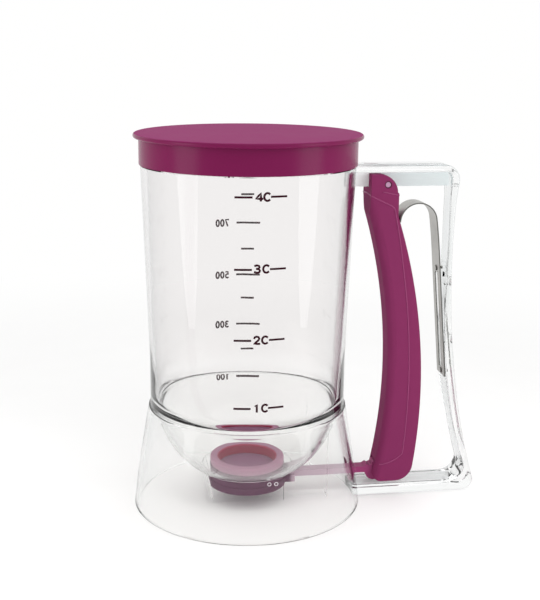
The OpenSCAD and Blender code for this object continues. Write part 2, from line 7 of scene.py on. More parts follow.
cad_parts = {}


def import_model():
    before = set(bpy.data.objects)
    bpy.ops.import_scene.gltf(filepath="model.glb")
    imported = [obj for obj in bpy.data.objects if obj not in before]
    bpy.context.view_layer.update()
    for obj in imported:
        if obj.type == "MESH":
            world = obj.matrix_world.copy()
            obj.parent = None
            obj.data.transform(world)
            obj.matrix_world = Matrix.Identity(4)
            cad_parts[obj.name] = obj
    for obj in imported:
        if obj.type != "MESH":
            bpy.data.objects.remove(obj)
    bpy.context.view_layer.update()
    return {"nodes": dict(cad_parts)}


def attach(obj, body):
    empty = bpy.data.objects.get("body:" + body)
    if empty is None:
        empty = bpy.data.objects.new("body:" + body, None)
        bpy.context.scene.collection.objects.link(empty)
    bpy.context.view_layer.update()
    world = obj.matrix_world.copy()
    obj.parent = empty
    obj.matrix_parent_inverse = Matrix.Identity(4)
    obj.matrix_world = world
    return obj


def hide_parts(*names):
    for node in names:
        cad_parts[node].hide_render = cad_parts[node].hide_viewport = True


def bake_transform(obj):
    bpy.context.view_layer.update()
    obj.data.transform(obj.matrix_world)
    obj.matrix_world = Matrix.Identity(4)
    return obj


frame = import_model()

MM = 0.001
NODES = frame["nodes"]
SIDES = ((-1, "near"), (1, "far"))       # sign of y, and name; the camera stands on the near side


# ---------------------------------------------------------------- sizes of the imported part, in mm

# jug: outer and inner radius at the foot and at the top, then the neck that the lid presses on
JUG_FOOT_R, JUG_TOP_R = 48.2, 51.4
JUG_IN_FOOT_R, JUG_IN_TOP_R = 46.0, 48.4
NECK_R = 50.2
SEAM_Z, TAPER_Z, SHOULDER_Z, RIM_Z = 55.979, 75.979, 170.279, 182.579
# skirt
SKIRT_H, SKIRT_TOP_R, BASE_R, SKIRT_WALL, SKIRT_BULGE = 51.779, 49.0, 57.0, 2.0, 0.4
# bowl: two balls round the middle of the seam, a flat floor and the hole that the seal sits in
BOWL_R, BOWL_IN_R, FLOOR_Z, FLOOR_TOP_Z, SEAL_HOLE_R = 45.5, 43.6, 17.2, 18.8, 16.9
# gap that is left where clear pieces are welded together
WELD = 0.02
# handle: heights of the arms, then centre and radius of the grip's outer and inner face
ARM_TOP, PLATE_Z, WEB_Z, ARM_LOW_T = 169.679, 166.079, 158.879, 5.8
ARM_START_X, WEB_HALF_T = 44, 2
OUT_C, OUT_R = (546.7, 125.079), 445.0
IN_C, IN_R, IN_X = (354.3, 94.979), 255.0, 99.3
# the leaf spring's straight tail: its top, and its lean from upright in degrees
TAIL_TOP, TAIL_LEAN = (94.56, 126.95), 5.3
# trigger: hinge pin, flat front of the head, half width and the arc of the cover's parting line
PIN_X, PIN_Z = 66.9, 160.38
HEAD_FRONT_X, TRIGGER_SIDE_Y = 58.6, 8.0
PARTING_C, PARTING_R = (-283.741, 58.530), 364.812


# ---------------------------------------------------------------- node trees

def srgb(code):
    """Linear RGBA of a colour written as #rrggbb."""
    parts = [int(code[i:i + 2], 16) / 255 for i in (1, 3, 5)]
    lin = [c / 12.92 if c <= 0.04045 else ((c + 0.055) / 1.055) ** 2.4 for c in parts]
    return (*lin, 1.0)


class Tree:
    """Short calls for building the node tree of a material or a world."""

    def __init__(self, owner):
        self.nt = owner.node_tree
        self.nt.nodes.clear()

    def add(self, kind):
        """A new node."""
        return self.nt.nodes.new(kind)

    def link(self, a, b):
        """Links an output to an input."""
        self.nt.links.new(a, b)

    def set(self, sock, value):
        """Links an input to another node's output, or sets its own value."""
        if isinstance(value, bpy.types.NodeSocket):
            self.link(value, sock)
        else:
            sock.default_value = value

    def put(self, node, **values):
        """Sets inputs by name, with _ for a space."""
        for key, value in values.items():
            self.set(node.inputs[key.replace("_", " ")], value)

    def coords(self):
        """Place on the part, in metres."""
        return self.add("ShaderNodeTexCoord").outputs["Object"]

    def xyz(self):
        """Place on the part, as three sockets in metres."""
        n = self.add("ShaderNodeSeparateXYZ")
        self.link(self.coords(), n.inputs[0])
        return n.outputs

    def normal(self):
        """Direction of the face, as three sockets."""
        n = self.add("ShaderNodeSeparateXYZ")
        self.link(self.add("ShaderNodeTexCoord").outputs["Normal"], n.inputs[0])
        return n.outputs

    def radius(self, a=0, centre_a=0.0, b=1, centre_b=0.0):
        """Distance in metres from a line along the third axis; a and b are the other two axes."""
        place = self.xyz()
        da = self.math("SUBTRACT", place[a], centre_a)
        db = self.math("SUBTRACT", place[b], centre_b)
        squares = self.math("ADD", self.math("MULTIPLY", da, da), self.math("MULTIPLY", db, db))
        return self.math("SQRT", squares)

    def step(self, value, low, high):
        """0 below low, 1 above high, smooth between; turned round where high is under low."""
        n = self.add("ShaderNodeMapRange")
        n.interpolation_type = "SMOOTHSTEP"
        flip = high < low
        n.inputs["From Min"].default_value = min(low, high)
        n.inputs["From Max"].default_value = max(low, high)
        n.inputs["To Min"].default_value = 1.0 if flip else 0.0
        n.inputs["To Max"].default_value = 0.0 if flip else 1.0
        self.link(value, n.inputs["Value"])
        return n.outputs["Result"]

    def noise(self, scale, detail=3.0, rough=0.5, stretch=None):
        """Smooth noise from 0 to 1; an axis with a small stretch gives long streaks along it."""
        vec = self.coords()
        if stretch:
            m = self.add("ShaderNodeMapping")
            m.inputs["Scale"].default_value = stretch
            self.link(vec, m.inputs["Vector"])
            vec = m.outputs["Vector"]
        n = self.add("ShaderNodeTexNoise")
        n.inputs["Scale"].default_value = scale
        n.inputs["Detail"].default_value = detail
        n.inputs["Roughness"].default_value = rough
        self.link(vec, n.inputs["Vector"])
        return n.outputs["Fac"]

    def ramp(self, fac, stops):
        """A colour ramp through (position, colour) stops."""
        r = self.add("ShaderNodeValToRGB")
        elements = r.color_ramp.elements
        while len(elements) < len(stops):
            elements.new(0.5)
        for element, (pos, col) in zip(elements, stops):
            element.position = pos
            element.color = col
        self.link(fac, r.inputs["Fac"])
        return r.outputs["Color"]

    def math(self, op, a, b=0.0, c=None, clamp=False):
        """A Math node; each value is a number or a socket."""
        n = self.add("ShaderNodeMath")
        n.operation = op
        n.use_clamp = clamp
        for sock, value in zip(n.inputs, (a, b, c)):
            if value is not None:
                self.set(sock, value)
        return n.outputs[0]

    def mix(self, fac, a, b):
        """Colour a where fac is 0, colour b where it is 1."""
        n = self.add("ShaderNodeMix")
        n.data_type = "RGBA"
        for index, value in ((0, fac), (6, a), (7, b)):
            self.set(n.inputs[index], value)
        return n.outputs[2]

    def mix_shader(self, fac, a, b):
        """Shader a where fac is 0, shader b where it is 1."""
        n = self.add("ShaderNodeMixShader")
        for index, value in enumerate((fac, a, b)):
            self.link(value, n.inputs[index])
        return n.outputs[0]

    def bump(self, height, strength, distance):
        """A normal from a height; the distance is in metres."""
        b = self.add("ShaderNodeBump")
        b.inputs["Strength"].default_value = strength
        b.inputs["Distance"].default_value = distance
        self.link(height, b.inputs["Height"])
        return b.outputs["Normal"]

    def out(self, shader, kind="ShaderNodeOutputMaterial"):
        """The last node of the tree."""
        self.link(shader, self.add(kind).inputs["Surface"])


def new_material(name):
    """An empty material and its tree."""
    m = bpy.data.materials.new(name)
    m.use_nodes = True
    return m, Tree(m)


# ---------------------------------------------------------------- materials; places in them are in metres

def plastic(name, base, light, rough=0.34, gloss=0.18, marks=None):
    """Moulded coloured plastic: slow variation of colour, a fine grain and soft gloss.
    marks(tree, colour) may change the colour at places on the part."""
    m, t = new_material(name)
    slow = t.noise(38, 3, 0.55)
    col = t.mix(t.math("MULTIPLY", slow, 0.5), base, light)
    if marks:
        col = marks(t, col)
    fine = t.noise(1400, 4, 0.6)
    p = t.add("ShaderNodeBsdfPrincipled")
    t.put(p, Base_Color=col, Roughness=t.math("MULTIPLY_ADD", slow, 0.12, rough - 0.06),
          Normal=t.bump(fine, 0.35, 0.00003))
    p.inputs["IOR"].default_value = 1.46
    p.inputs["Specular IOR Level"].default_value = gloss
    t.out(p.outputs[0])
    return m


def clear(name, face, edge, lamp_tint, power=3.0, rough=0.012, ior=1.49, marks=None):
    """Clear moulded plastic: refracts, is a little grey where it is seen edge on, and
    lets lamps through with a light tint."""
    m, t = new_material(name)
    col = t.mix(edge_on(t, power), face, edge)
    if marks:
        col = marks(t, col)
    wave = t.noise(55, 2, 0.5)
    p = t.add("ShaderNodeBsdfPrincipled")
    t.put(p, Base_Color=col, Normal=t.bump(wave, 0.12, 0.0004))
    p.inputs["Roughness"].default_value = rough
    p.inputs["IOR"].default_value = ior
    p.inputs["Transmission Weight"].default_value = 1.0
    p.inputs["Specular Tint"].default_value = (0.5, 0.5, 0.5, 1)
    path = t.add("ShaderNodeLightPath")
    pane = t.add("ShaderNodeBsdfTransparent")
    pane.inputs["Color"].default_value = lamp_tint
    near = t.mix_shader(path.outputs["Is Diffuse Ray"], p.outputs[0], pane.outputs[0])
    t.out(t.mix_shader(path.outputs["Is Shadow Ray"], near, pane.outputs[0]))
    return m


def edge_on(t, power):
    """0 where a face is seen square on, up to 1 where it is seen along its surface."""
    lw = t.add("ShaderNodeLayerWeight")
    lw.inputs["Blend"].default_value = 0.5
    return t.math("POWER", lw.outputs["Facing"], power)


def steel(name):
    """Spring steel strip: fine grinding lines along it, and painted shade on its cut edges."""
    m, t = new_material(name)
    brush = t.noise(2600, 3, 0.6, (1.0, 1.0, 0.03))
    patch = t.noise(70, 2, 0.5)
    col = t.ramp(t.math("MULTIPLY_ADD", patch, 0.5, t.math("MULTIPLY", brush, 0.5)),
                 [(0.3, srgb("#979692")), (0.7, srgb("#bbbab6"))])
    # painted shade on the faces that turn sideways, the strip's cut edges
    edge = t.step(t.math("ABSOLUTE", t.normal()[1]), 0.6, 0.8)
    col = t.mix(edge, col, srgb("#5f5e5b"))
    p = t.add("ShaderNodeBsdfPrincipled")
    t.put(p, Base_Color=col, Roughness=t.math("MULTIPLY_ADD", brush, 0.14, 0.26),
          Normal=t.bump(brush, 0.2, 0.00002))
    p.inputs["Metallic"].default_value = 1.0
    t.out(p.outputs[0])
    return m


def silicone(name, base, light, marks, gloss=0.2):
    """Soft silicone: a matt face with a fine grain; marks(tree, colour) changes its colour in places."""
    m, t = new_material(name)
    slow = t.noise(90, 3, 0.5)
    col = marks(t, t.mix(slow, base, light))
    p = t.add("ShaderNodeBsdfPrincipled")
    t.put(p, Base_Color=col, Roughness=t.math("MULTIPLY_ADD", slow, 0.1, 0.5),
          Normal=t.bump(t.noise(2200, 3, 0.6), 0.3, 0.00003))
    p.inputs["Specular IOR Level"].default_value = gloss
    t.out(p.outputs[0])
    return m


def web_plastic():
    """The plate under the upper arm: the same plastic with a matt, greyish face, and painted light that makes
    it paler at the jug, where the jug shades it.
    """
    m, t = new_material("clear_web_matt")
    slow = t.noise(70, 3, 0.5)
    col = t.mix(slow, (0.64, 0.69, 0.695, 1), (0.71, 0.75, 0.755, 1))
    # painted light: paler near the jug, against the jug's shadow
    col = t.mix(t.step(t.xyz()[0], 0.066, 0.058), col, (0.97, 0.975, 0.98, 1))
    p = t.add("ShaderNodeBsdfPrincipled")
    t.put(p, Base_Color=col, Roughness=t.math("MULTIPLY_ADD", slow, 0.1, 0.42),
          Normal=t.bump(t.noise(900, 3, 0.6), 0.2, 0.00004))
    p.inputs["IOR"].default_value = 1.49
    p.inputs["Transmission Weight"].default_value = 0.3
    p.inputs["Specular IOR Level"].default_value = 0.3
    t.out(p.outputs[0])
    return m


def pin_shadow(t, col):
    """Painted shadow in the gap round the hinge pin."""
    gap = t.step(t.radius(0, PIN_X * MM, 2, PIN_Z * MM), 0.00185, 0.00160)
    return t.mix(gap, col, srgb("#30101f"))


def disc_painted_shade_and_highlight(t, col):
    """Painted shade makes the disc under the bowl darker than its pull arm, and a painted highlight makes the
    arm paler inside the skirt.
    """
    x = t.xyz()[0]
    # painted highlight: the arm inside the skirt is made paler
    col = t.mix(t.step(x, 0.057, 0.050), col, srgb("#b9a3b0"))
    # painted shade: the disc under the bowl is made darker
    return t.mix(t.step(x, 0.0235, 0.0205), col, srgb("#5f3c52"))


def plug_side_painted_shade(t, col):
    """Painted shade: the plug's side is darkened to the disc's deep colour, as it lies in shade under the
    bowl.
    """
    return t.mix(t.step(t.radius(), 0.0183, 0.0189), col, srgb("#5f3c52"))


def bore_painted_reflection(t, col):
    """Painted reflection: the seal is made redder inside its hole, where it takes the purple of the disc
    under it.
    """
    return t.mix(t.step(t.radius(), 0.01535, 0.0149), col, srgb("#990d40"))


def painted_shade_streaks(t, col):
    """Painted shade: grey streaks along the arms and the grip, standing in for the shading seen through the
    clear bars; fainter on the lower arm.
    """
    z = t.xyz()[2]
    along_z = t.noise(330, 2, 0.5, (1.0, 1.0, 0.04))
    along_x = t.noise(330, 2, 0.5, (0.04, 1.0, 1.0))
    arms = t.math("MAXIMUM", t.step(z, 0.159, 0.166), t.step(z, 0.016, 0.009))
    lines = t.math("ADD", t.math("MULTIPLY", along_x, arms),
                   t.math("MULTIPLY", along_z, t.math("SUBTRACT", 1.0, arms)))
    strength = t.math("MULTIPLY_ADD", t.step(z, 0.012, 0.022), 0.24, 0.18)
    return t.mix(t.math("MULTIPLY", t.step(lines, 0.44, 0.62), strength), col, (0.70, 0.73, 0.73, 1))


def low_part(t, col):
    """The bowl and the skirt are a little clearer than the jug's wall."""
    low = t.mix(edge_on(t, 3.0), (0.978, 0.978, 0.974, 1), (0.66, 0.69, 0.70, 1))
    return t.mix(t.step(t.xyz()[2], 0.068, 0.054), col, low)


LID = plastic("lid_plastic", srgb("#6c0f43"), srgb("#751a4c"), rough=0.24, gloss=0.12)
# painted light: a paler copy of the lid's colour for its flat top
LID_TOP_PAINTED_LIGHT = plastic("lid_top_painted_light", srgb("#8a2d63"), srgb("#93356c"), rough=0.6, gloss=0.05)
TRIGGER = plastic("trigger_plastic", srgb("#792b54"), srgb("#80325b"), rough=0.6, gloss=0.04,
                  marks=pin_shadow)
COVER = plastic("cover_plastic", srgb("#782b54"), srgb("#7f325b"), rough=0.6, gloss=0.04)
# painted highlight: the trigger's raised lines are made paler than the trigger
BEAD_PAINTED_HIGHLIGHT = plastic("bead_painted_highlight", srgb("#8a3a66"), srgb("#92426e"), rough=0.4, gloss=0.2)
VALVE = plastic("valve_plastic", srgb("#8c3965"), srgb("#94416d"), gloss=0.08, marks=disc_painted_shade_and_highlight)
SEAL = silicone("seal_silicone", srgb("#9f7088"), srgb("#ab7d94"), marks=bore_painted_reflection)
PLUG = silicone("plug_silicone", srgb("#835471"), srgb("#8e5e7d"), gloss=0.1, marks=plug_side_painted_shade)
# painted reflection: the pin's mauve stands in for the purple that its polished end reflects
PIN = plastic("pin_painted_reflection", srgb("#ab85a0"), srgb("#b893ab"), rough=0.3)
STEEL = steel("spring_steel_brushed")
CLEAR = clear("clear_jug", face=(0.938, 0.928, 0.926, 1), edge=(0.44, 0.45, 0.46, 1),
              lamp_tint=(0.965, 0.965, 0.96, 1), marks=low_part)
CLEAR_FAINT = clear("clear_guides", face=(0.985, 0.985, 0.983, 1), edge=(0.93, 0.935, 0.94, 1),
                    lamp_tint=(0.985, 0.985, 0.985, 1), ior=1.025)
CLEAR_HANDLE = clear("clear_handle", face=(0.965, 0.97, 0.968, 1), edge=(0.46, 0.49, 0.50, 1),
                     lamp_tint=(0.91, 0.92, 0.92, 1), power=2.0, rough=0.03, marks=painted_shade_streaks)
CLEAR_WEB = web_plastic()
# painted glint: pale colour for the rings at the clear pegs' ends
PEG_PAINTED_GLINT = plastic("peg_painted_glint", srgb("#e3dce2"), srgb("#eee9ed"), rough=0.4)
INK = plastic("scale_ink", srgb("#2e0f18"), srgb("#3a1723"), rough=0.6, gloss=0.05)

for node, material in {
    "container_wall": CLEAR, "hopper_bowl": CLEAR, "base_skirt": CLEAR, "slide_keeper": CLEAR_FAINT,
    "handle_frame": CLEAR_HANDLE, "lid": LID, "trigger": TRIGGER, "trigger_grip": COVER,
    "pivot_pin": PIN, "leaf_spring": STEEL, "spring_rivets": STEEL, "slide_valve": VALVE,
    "valve_plug": PLUG, "outlet_seal": SEAL,
}.items():
    node_mesh = NODES[node].data
    node_mesh.materials.clear()
    node_mesh.materials.append(material)

# the lid's flat top is more matt than its band, and painted light makes it paler, as lit from above
lid_mesh = NODES["lid"].data
lid_mesh.materials.append(LID_TOP_PAINTED_LIGHT)
for poly in lid_mesh.polygons:
    if poly.normal.z > 0.8 and poly.center.z > 0.184:
        poly.material_index = 1


# ---------------------------------------------------------------- shapes; lengths in them are in mm

def even(start, stop, n):
    """n + 1 numbers at even steps, both ends included."""
    return [start + (stop - start) * i / n for i in range(n + 1)]


def arc(cx, cz, r, start, stop, n):
    """Points of an arc, in degrees, both ends included."""
    turns = [math.radians(a) for a in even(start, stop, n)]
    return [(cx + r * math.cos(a), cz + r * math.sin(a)) for a in turns]


def left_x(c, r, z):
    """The left side of a circle at a height."""
    return c[0] - math.sqrt(r * r - (z - c[1]) ** 2)


def right_x(c, r, z):
    """The right side of a circle at a height."""
    return c[0] + math.sqrt(r * r - (z - c[1]) ** 2)


def link_object(name, mesh):
    """A new object in the scene."""
    ob = bpy.data.objects.new(name, mesh)
    bpy.context.scene.collection.objects.link(ob)
    return ob


def solid(name, verts, faces, material, body=None, sharp=28):
    """A closed mesh from points in metres. One without a body is a tool, or rides later."""
    me = bpy.data.meshes.new(name)
    me.from_pydata([tuple(v) for v in verts], [], faces)
    me.materials.append(material)
    ob = link_object(name, me)
    tidy_mesh(ob, sharp)
    if body:
        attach(ob, body)
    return ob


def tidy_mesh(ob, sharp):
    """Faces outwards, smooth except at edges sharper than the angle."""
    bm = bmesh.new()
    bm.from_mesh(ob.data)
    bmesh.ops.recalc_face_normals(bm, faces=bm.faces)
    bm.to_mesh(ob.data)
    bm.free()
    for poly in ob.data.polygons:
        poly.use_smooth = True
    ob.data.set_sharp_from_angle(angle=math.radians(sharp))


def quad_strip(first, second, n):
    """Faces between two closed rings of n points that start at the given indices."""
    return [(first + k, first + (k + 1) % n, second + (k + 1) % n, second + k) for k in range(n)]


def revolve(name, profile, material, segments=192):
    """Turns a closed outline of (radius, height) about Z."""
    verts, faces = [], []
    n = len(profile)
    for k in range(segments):
        a = 2 * math.pi * k / segments
        c, s = math.cos(a) * MM, math.sin(a) * MM
        verts += [(r * c, r * s, z * MM) for r, z in profile]
        faces += quad_strip(k * n, (k + 1) % segments * n, n)
    return solid(name, verts, faces, material)


def boolean(target, tools, operation="DIFFERENCE", sharp=28):
    """Cuts or joins other meshes and keeps the result as the target's own mesh."""
    for tool in tools:
        mod = target.modifiers.new("cut", "BOOLEAN")
        mod.object, mod.operation, mod.solver = tool, operation, "EXACT"
        bpy.context.view_layer.update()
        graph = bpy.context.evaluated_depsgraph_get()
        mesh = bpy.data.meshes.new_from_object(target.evaluated_get(graph))
        target.modifiers.clear()
        old = target.data
        mesh.name = old.name
        target.data = mesh
        bpy.data.meshes.remove(old)
        bpy.data.objects.remove(tool)
    tidy_mesh(target, sharp)


def block(name, low, high, material):
    """A block between two corners."""
    verts = [(x * MM, y * MM, z * MM)
             for x in (low[0], high[0]) for y in (low[1], high[1]) for z in (low[2], high[2])]
    faces = [(0, 1, 3, 2), (4, 6, 7, 5), (0, 4, 5, 1), (2, 3, 7, 6), (0, 2, 6, 4), (1, 5, 7, 3)]
    return solid(name, verts, faces, material)


def tube(name, points, radius, material, body, around=8):
    """A round bead along points, with closed ends."""
    pts = [Vector(p) for p in points]
    last = len(pts) - 1
    verts, faces = [], []
    for k, p in enumerate(pts):
        d = (pts[min(k + 1, last)] - pts[max(k - 1, 0)]).normalized()
        side = d.cross(Vector((0, 1, 0)))
        if side.length < 0.2:
            side = d.cross(Vector((0, 0, 1)))
        side.normalize()
        top = side.cross(d)
        for q in range(around):
            a = 2 * math.pi * q / around
            verts.append((p + radius * (math.cos(a) * side + math.sin(a) * top)) * MM)
    for k in range(last):
        faces += quad_strip(k * around, (k + 1) * around, around)
    faces += [tuple(range(around)), tuple(range(last * around, (last + 1) * around))]
    return solid(name, verts, faces, material, body, 50)


# ---------------------------------------------------------------- jug, bowl and skirt

def skirt_r(z):
    """Outer radius of the skirt at a height."""
    t = z / SKIRT_H
    return BASE_R + (SKIRT_TOP_R - BASE_R) * t + 4 * SKIRT_BULGE * t * (1 - t)


def jug_r(z):
    """Outer radius of the jug's wall at a height, and of the skirt under it."""
    if z < SKIRT_H:
        return skirt_r(z)
    if z < TAPER_Z:
        return JUG_FOOT_R
    return JUG_FOOT_R + (JUG_TOP_R - JUG_FOOT_R) * (z - TAPER_Z) / (SHOULDER_Z - TAPER_Z)


def bowl_angle(z, radius):
    """Angle in degrees at which a ball round the middle of the seam has a height."""
    return math.degrees(math.asin((z - SEAM_Z) / radius))


def clear_shell():
    """Jug, bowl and skirt, which are welded to one clear body. The skirt's wall thickens upwards
    until it meets the bowl in a narrow notch."""
    ledge_z, notch_z, notch_r, thick_z = 51.2, 52.0, 0.12, 49.0
    bowl_top_z = 49.4            # where the bowl's inner face turns into the jug's
    top_a = bowl_angle(notch_z, BOWL_R)
    weld_r = BOWL_R * math.cos(math.radians(top_a))
    edge, foot_edge = 0.4, 0.3   # bevels: of the rim and the shoulder, of the neck's foot and the hole

    # neck, shoulder and outer wall, down to the ledge on top of the skirt
    outer = [(NECK_R - edge, RIM_Z), (NECK_R, RIM_Z - edge)]
    outer += [(NECK_R, SHOULDER_Z + foot_edge), (NECK_R + foot_edge, SHOULDER_Z)]
    outer += [(JUG_TOP_R - edge, SHOULDER_Z), (JUG_TOP_R, SHOULDER_Z - edge)]
    outer += [(jug_r(z), z) for z in (150, 125, 100, TAPER_Z + 8, TAPER_Z, TAPER_Z - 8)]
    outer += [(JUG_FOOT_R, 60), (JUG_FOOT_R, ledge_z + 0.32), (JUG_FOOT_R + 0.06, ledge_z + 0.12)]
    outer += [(JUG_FOOT_R + 0.2, ledge_z + 0.02), (skirt_r(ledge_z) - 0.25, ledge_z)]
    outer += [(skirt_r(ledge_z) - 0.07, ledge_z - 0.08)]

    # skirt: down its outer face, round its rim and up its inner face
    skirt = [(skirt_r(z), z) for z in even(ledge_z - 0.25, 0.5, 24)]
    skirt += [(BASE_R - 0.5, 0), (BASE_R - SKIRT_WALL + 0.5, 0)]
    skirt += [(skirt_r(z) - SKIRT_WALL, z) for z in even(0.5, thick_z, 24)]
    for k in range(1, 11):
        z = thick_z + (notch_z - thick_z) * k / 10
        thin = skirt_r(z) - SKIRT_WALL
        skirt.append((thin + (weld_r + 2 * notch_r - thin) * (k / 10) ** 2, z))
    notch = arc(weld_r + notch_r, notch_z, notch_r, 45, 135, 2)

    # bowl: down its outer face, through the hole and up its inner face
    bowl = arc(0, SEAM_Z, BOWL_R, top_a, bowl_angle(FLOOR_Z, BOWL_R), 30)
    bowl += [(SEAL_HOLE_R + foot_edge, FLOOR_Z), (SEAL_HOLE_R, FLOOR_Z + foot_edge)]
    bowl += [(SEAL_HOLE_R, FLOOR_TOP_Z - foot_edge), (SEAL_HOLE_R + foot_edge, FLOOR_TOP_Z)]
    bowl += arc(0, SEAM_Z, BOWL_IN_R,
                bowl_angle(FLOOR_TOP_Z, BOWL_IN_R), bowl_angle(bowl_top_z, BOWL_IN_R), 30)

    # inner wall: a hollow curve that ends upright, and then the jug's inner face up to the rim
    hollow_r, hollow_z, hollow_face_r, slope = 14.6, 58.0, 45.3, 26.5
    inner = [(43.3, 50.45)] + arc(hollow_face_r - hollow_r, hollow_z, hollow_r, -slope, 0, 12)
    inner += [(45.5, 62), (45.9, 69)]
    wall = list(zip(even(JUG_IN_FOOT_R, JUG_IN_TOP_R, 8), even(SEAM_Z, RIM_Z, 8)))
    inner += [(r, z) for r, z in wall[1:-1] if z > 80]
    inner += [(JUG_IN_TOP_R, RIM_Z - edge), (JUG_IN_TOP_R + edge, RIM_Z)]

    shell = revolve("clear_shell", outer + skirt + notch + bowl + inner, CLEAR)
    # the slot in the skirt that the pull arm runs through
    boolean(shell, [block("slot_cut", (42, -4.5, 9.2), (62, 4.5, 17.2), CLEAR)])
    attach(shell, "jug")
    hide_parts("container_wall", "hopper_bowl", "base_skirt")


def guide_rails():
    """The two guide walls that hang from the bowl beside the sliding disc."""
    start_x, end_x, low_z, high_z = -14, 36.8, 8.6, 47.9
    ball_r = BOWL_R + WELD
    ball_profile = [(0.001, SEAM_Z - ball_r)] + arc(0, SEAM_Z, ball_r, -89, 0, 40)
    ball_profile += [(ball_r, 70), (0.001, 70)]
    for side, tag in SIDES:
        y0, y1 = sorted((side * 20.2, side * 22.0))
        rail = block("guide_rail_" + tag, (start_x, y0, low_z), (end_x, y1, high_z), CLEAR_FAINT)
        boolean(rail, [revolve("ball", ball_profile, CLEAR, segments=96)])
        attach(rail, "jug")


def peg_painted_glints():
    """Painted glints: small pale rings at the ends of the keeper's clear pegs."""
    ring_r, ring_y, ring_z, bead_r = 0.85, 22.1, 15.3, 0.18
    for side, tag in SIDES:
        for k, x in enumerate((8.0, 11.4)):
            points = [(px, side * ring_y, pz) for px, pz in arc(x, ring_z, ring_r, 0, 340, 17)]
            ring = tube("peg_glint_ring_%s_%d" % (tag, k), points + points[:1], bead_r, PEG_PAINTED_GLINT, "jug")


# ---------------------------------------------------------------- handle

def half_width(z):
    """Half the width of the frame at a height: wide arms, a narrower grip."""
    stops = [(-1, 8), (7.8, 8), (27.8, 6), (152.9, 6), (165.1, 8), (200, 8)]
    for (z0, w0), (z1, w1) in zip(stops, stops[1:]):
        if z <= z1:
            return w0 + (w1 - w0) * (z - z0) / (z1 - z0)


def corner(c, r, radius, z):
    """Centre, at a height, of a rounding that touches the circle (c, r) from outside, and its angle there."""
    centre = (left_x(c, r + radius, z), z)
    return centre, math.degrees(math.atan2(c[1] - centre[1], c[0] - centre[0]))


def grip_inner_x(z):
    """The inner face of the grip: straight above, curved below."""
    return IN_X if z > IN_C[1] else left_x(IN_C, IN_R, z)


def frame_stations():
    """Pairs of points on the frame's outer and inner face, from the top arm round to the low arm."""
    top_r, low_r, in_top_r, in_low_r = 8, 5.5, 3, 8      # roundings of the four corners
    top_c, top_a = corner(OUT_C, OUT_R, top_r, ARM_TOP - top_r)
    low_c, low_a = corner(OUT_C, OUT_R, low_r, low_r)
    in_c, in_a = corner(IN_C, IN_R, in_low_r, ARM_LOW_T + in_low_r)

    stations = [((x, ARM_TOP), (x, PLATE_Z)) for x in (ARM_START_X, 52, 60, 68, 76, 84, 90)]
    stations += zip(arc(*top_c, top_r, 90, top_a, 12),
                    arc(IN_X - in_top_r, PLATE_Z - in_top_r, in_top_r, 90, 0, 12))
    outer_z = even(top_c[1] + top_r * math.sin(math.radians(top_a)),
                   low_c[1] + low_r * math.sin(math.radians(low_a)), 48)
    inner_z = even(PLATE_Z - in_top_r, in_c[1] + in_low_r * math.sin(math.radians(in_a)), 48)
    stations += [((left_x(OUT_C, OUT_R, zo), zo), (grip_inner_x(zi), zi))
                 for zo, zi in list(zip(outer_z, inner_z))[1:-1]]
    stations += zip(arc(*low_c, low_r, low_a, -90, 12), arc(*in_c, in_low_r, in_a, -90, 12))
    stations += [((x, 0.0), (x - 4, ARM_LOW_T)) for x in (106, 100)]
    stations += [((x, 0.0), (x, ARM_LOW_T)) for x in (92, 84, 76, 68, 60, 52, ARM_START_X)]
    return stations


def frame_loop(name, edge_r=1.1, corner_n=5):
    """The loop of the handle as one swept bar with rounded edges."""
    verts, faces = [], []
    ring = 4 * (corner_n + 1)
    stations = frame_stations()
    for outer, inner in stations:
        outer, inner = Vector(outer), Vector(inner)
        thick = (outer - inner).length
        axis = (outer - inner) / thick
        half = half_width((outer.y + inner.y) / 2)
        r = min(edge_r, 0.45 * thick)
        for sx, sy, start in ((1, 1, 0), (-1, 1, 90), (-1, -1, 180), (1, -1, 270)):
            for k in range(corner_n + 1):
                a = math.radians(start + 90 * k / corner_n)
                u = (thick / 2 + sx * (thick / 2 - r)) + r * math.cos(a)
                y = sy * (half - r) + r * math.sin(a)
                p = inner + axis * u
                verts.append((p.x * MM, y * MM, p.y * MM))
    last = len(stations) - 1
    for k in range(last):
        faces += quad_strip(k * ring, (k + 1) * ring, ring)
    faces += [tuple(range(ring)), tuple(range(last * ring, (last + 1) * ring))]
    return solid(name, verts, faces, CLEAR_HANDLE, sharp=40)


def round_cut(name, centre, axis, radius, depth):
    """A shallow round pocket with a domed floor, cut along an axis."""
    above = 3                    # how far the cutter stands out of the face
    profile = [(0.001, -depth), (radius * 0.55, -depth * 0.92), (radius * 0.85, -depth * 0.6),
               (radius, 0), (radius, above), (0.001, above)]
    ob = revolve(name, profile, CLEAR_HANDLE, segments=48)
    turn = Vector(axis).to_track_quat("Z", "Y").to_matrix().to_4x4()
    ob.data.transform(Matrix.Translation(Vector(centre) * MM) @ turn)
    return ob


